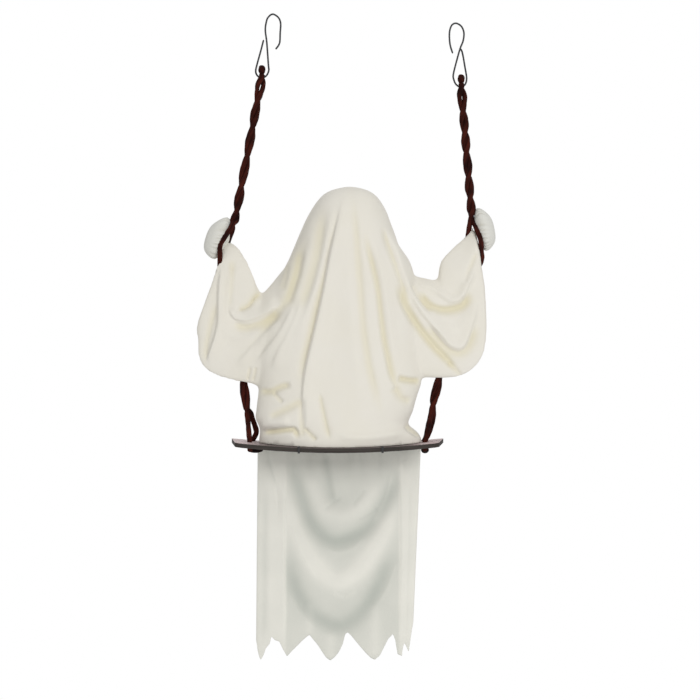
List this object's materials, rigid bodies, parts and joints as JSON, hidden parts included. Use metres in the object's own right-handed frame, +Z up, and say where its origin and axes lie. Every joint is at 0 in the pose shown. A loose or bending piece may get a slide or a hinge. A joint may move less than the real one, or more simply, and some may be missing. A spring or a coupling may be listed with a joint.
{
  "type": "swinging ghost decoration",
  "caption": "Hooded cloth ghost figure that sits on a small rope swing, with stuffed hands at the ropes, a hanging skirt with a ragged hem and wire hooks to hang it up.",
  "frame": {"origin": "where the left hook's crown bears on the rail, branch or rod that holds the decoration up", "axes": "+X to the right when the figure is seen from behind, as in the picture; +Y the way the figure faces; +Z up"},
  "size_m": [0.4249, 0.1437, 0.9246],
  "materials": {
    "hook_wire": "black coated bent steel wire, semi-gloss",
    "rope_cloth": "dark maroon-brown soft cloth strand, twisted in pairs",
    "seat_foam": "thin brown closed-cell foam board, matte",
    "tie_plastic": "small black plastic clips",
    "flange_plastic": "black moulded plastic, matte",
    "pale_plastic": "thin off-white moulded plastic",
    "arm_steel": "plain drawn steel wire",
    "stuffing": "white polyester filling",
    "robe_cloth": "cream woven cloth, soft, unpressed",
    "skirt_cloth": "cream woven cloth in two layers, raw cut hem",
    "black_felt": "black felt"
  },
  "bodies": {
    "hooks": {"left_hook": "hook_wire", "right_hook": "hook_wire"},
    "upper_ropes": {"left_top_knot": "rope_cloth", "right_top_knot": "rope_cloth", "left_upper_strand_a": "rope_cloth", "left_upper_strand_b": "rope_cloth", "right_upper_strand_a": "rope_cloth", "right_upper_strand_b": "rope_cloth"},
    "figure": {"left_lower_strand_a": "rope_cloth", "left_lower_strand_b": "rope_cloth", "right_lower_strand_a": "rope_cloth", "right_lower_strand_b": "rope_cloth", "left_bottom_knot": "rope_cloth", "right_bottom_knot": "rope_cloth", "seat_board": "seat_foam", "left_seat_tie": "tie_plastic", "right_seat_tie": "tie_plastic", "base_flange": "flange_plastic", "spine_tube": "pale_plastic", "head_form": "pale_plastic", "arm_wire": "arm_steel", "torso_padding": "stuffing", "robe": "robe_cloth", "left_sleeve": "robe_cloth", "right_sleeve": "robe_cloth", "left_hand": "robe_cloth", "right_hand": "robe_cloth", "left_eye": "black_felt", "right_eye": "black_felt", "mouth": "black_felt"},
    "skirt": {"skirt": "skirt_cloth"}
  },
  "joints": [
    {"name": "swing", "type": "hinge", "parent": "hooks", "child": "upper_ropes", "pos_m": [0.12594, 0, -0.0955], "axis": [0.999, 0, -0.0457], "range_deg": [-35, 35]},
    {"name": "figure_pitch", "type": "hinge", "parent": "upper_ropes", "child": "figure", "pos_m": [0.11449, 0, -0.2833], "axis": [0.9997, 0, 0.0248], "range_deg": [-12, 12]},
    {"name": "skirt_swing", "type": "hinge", "parent": "figure", "child": "skirt", "pos_m": [0.09169, 0.0621, -0.61008], "axis": [1, 0, 0], "range_deg": [-15, 45]}
  ]
}
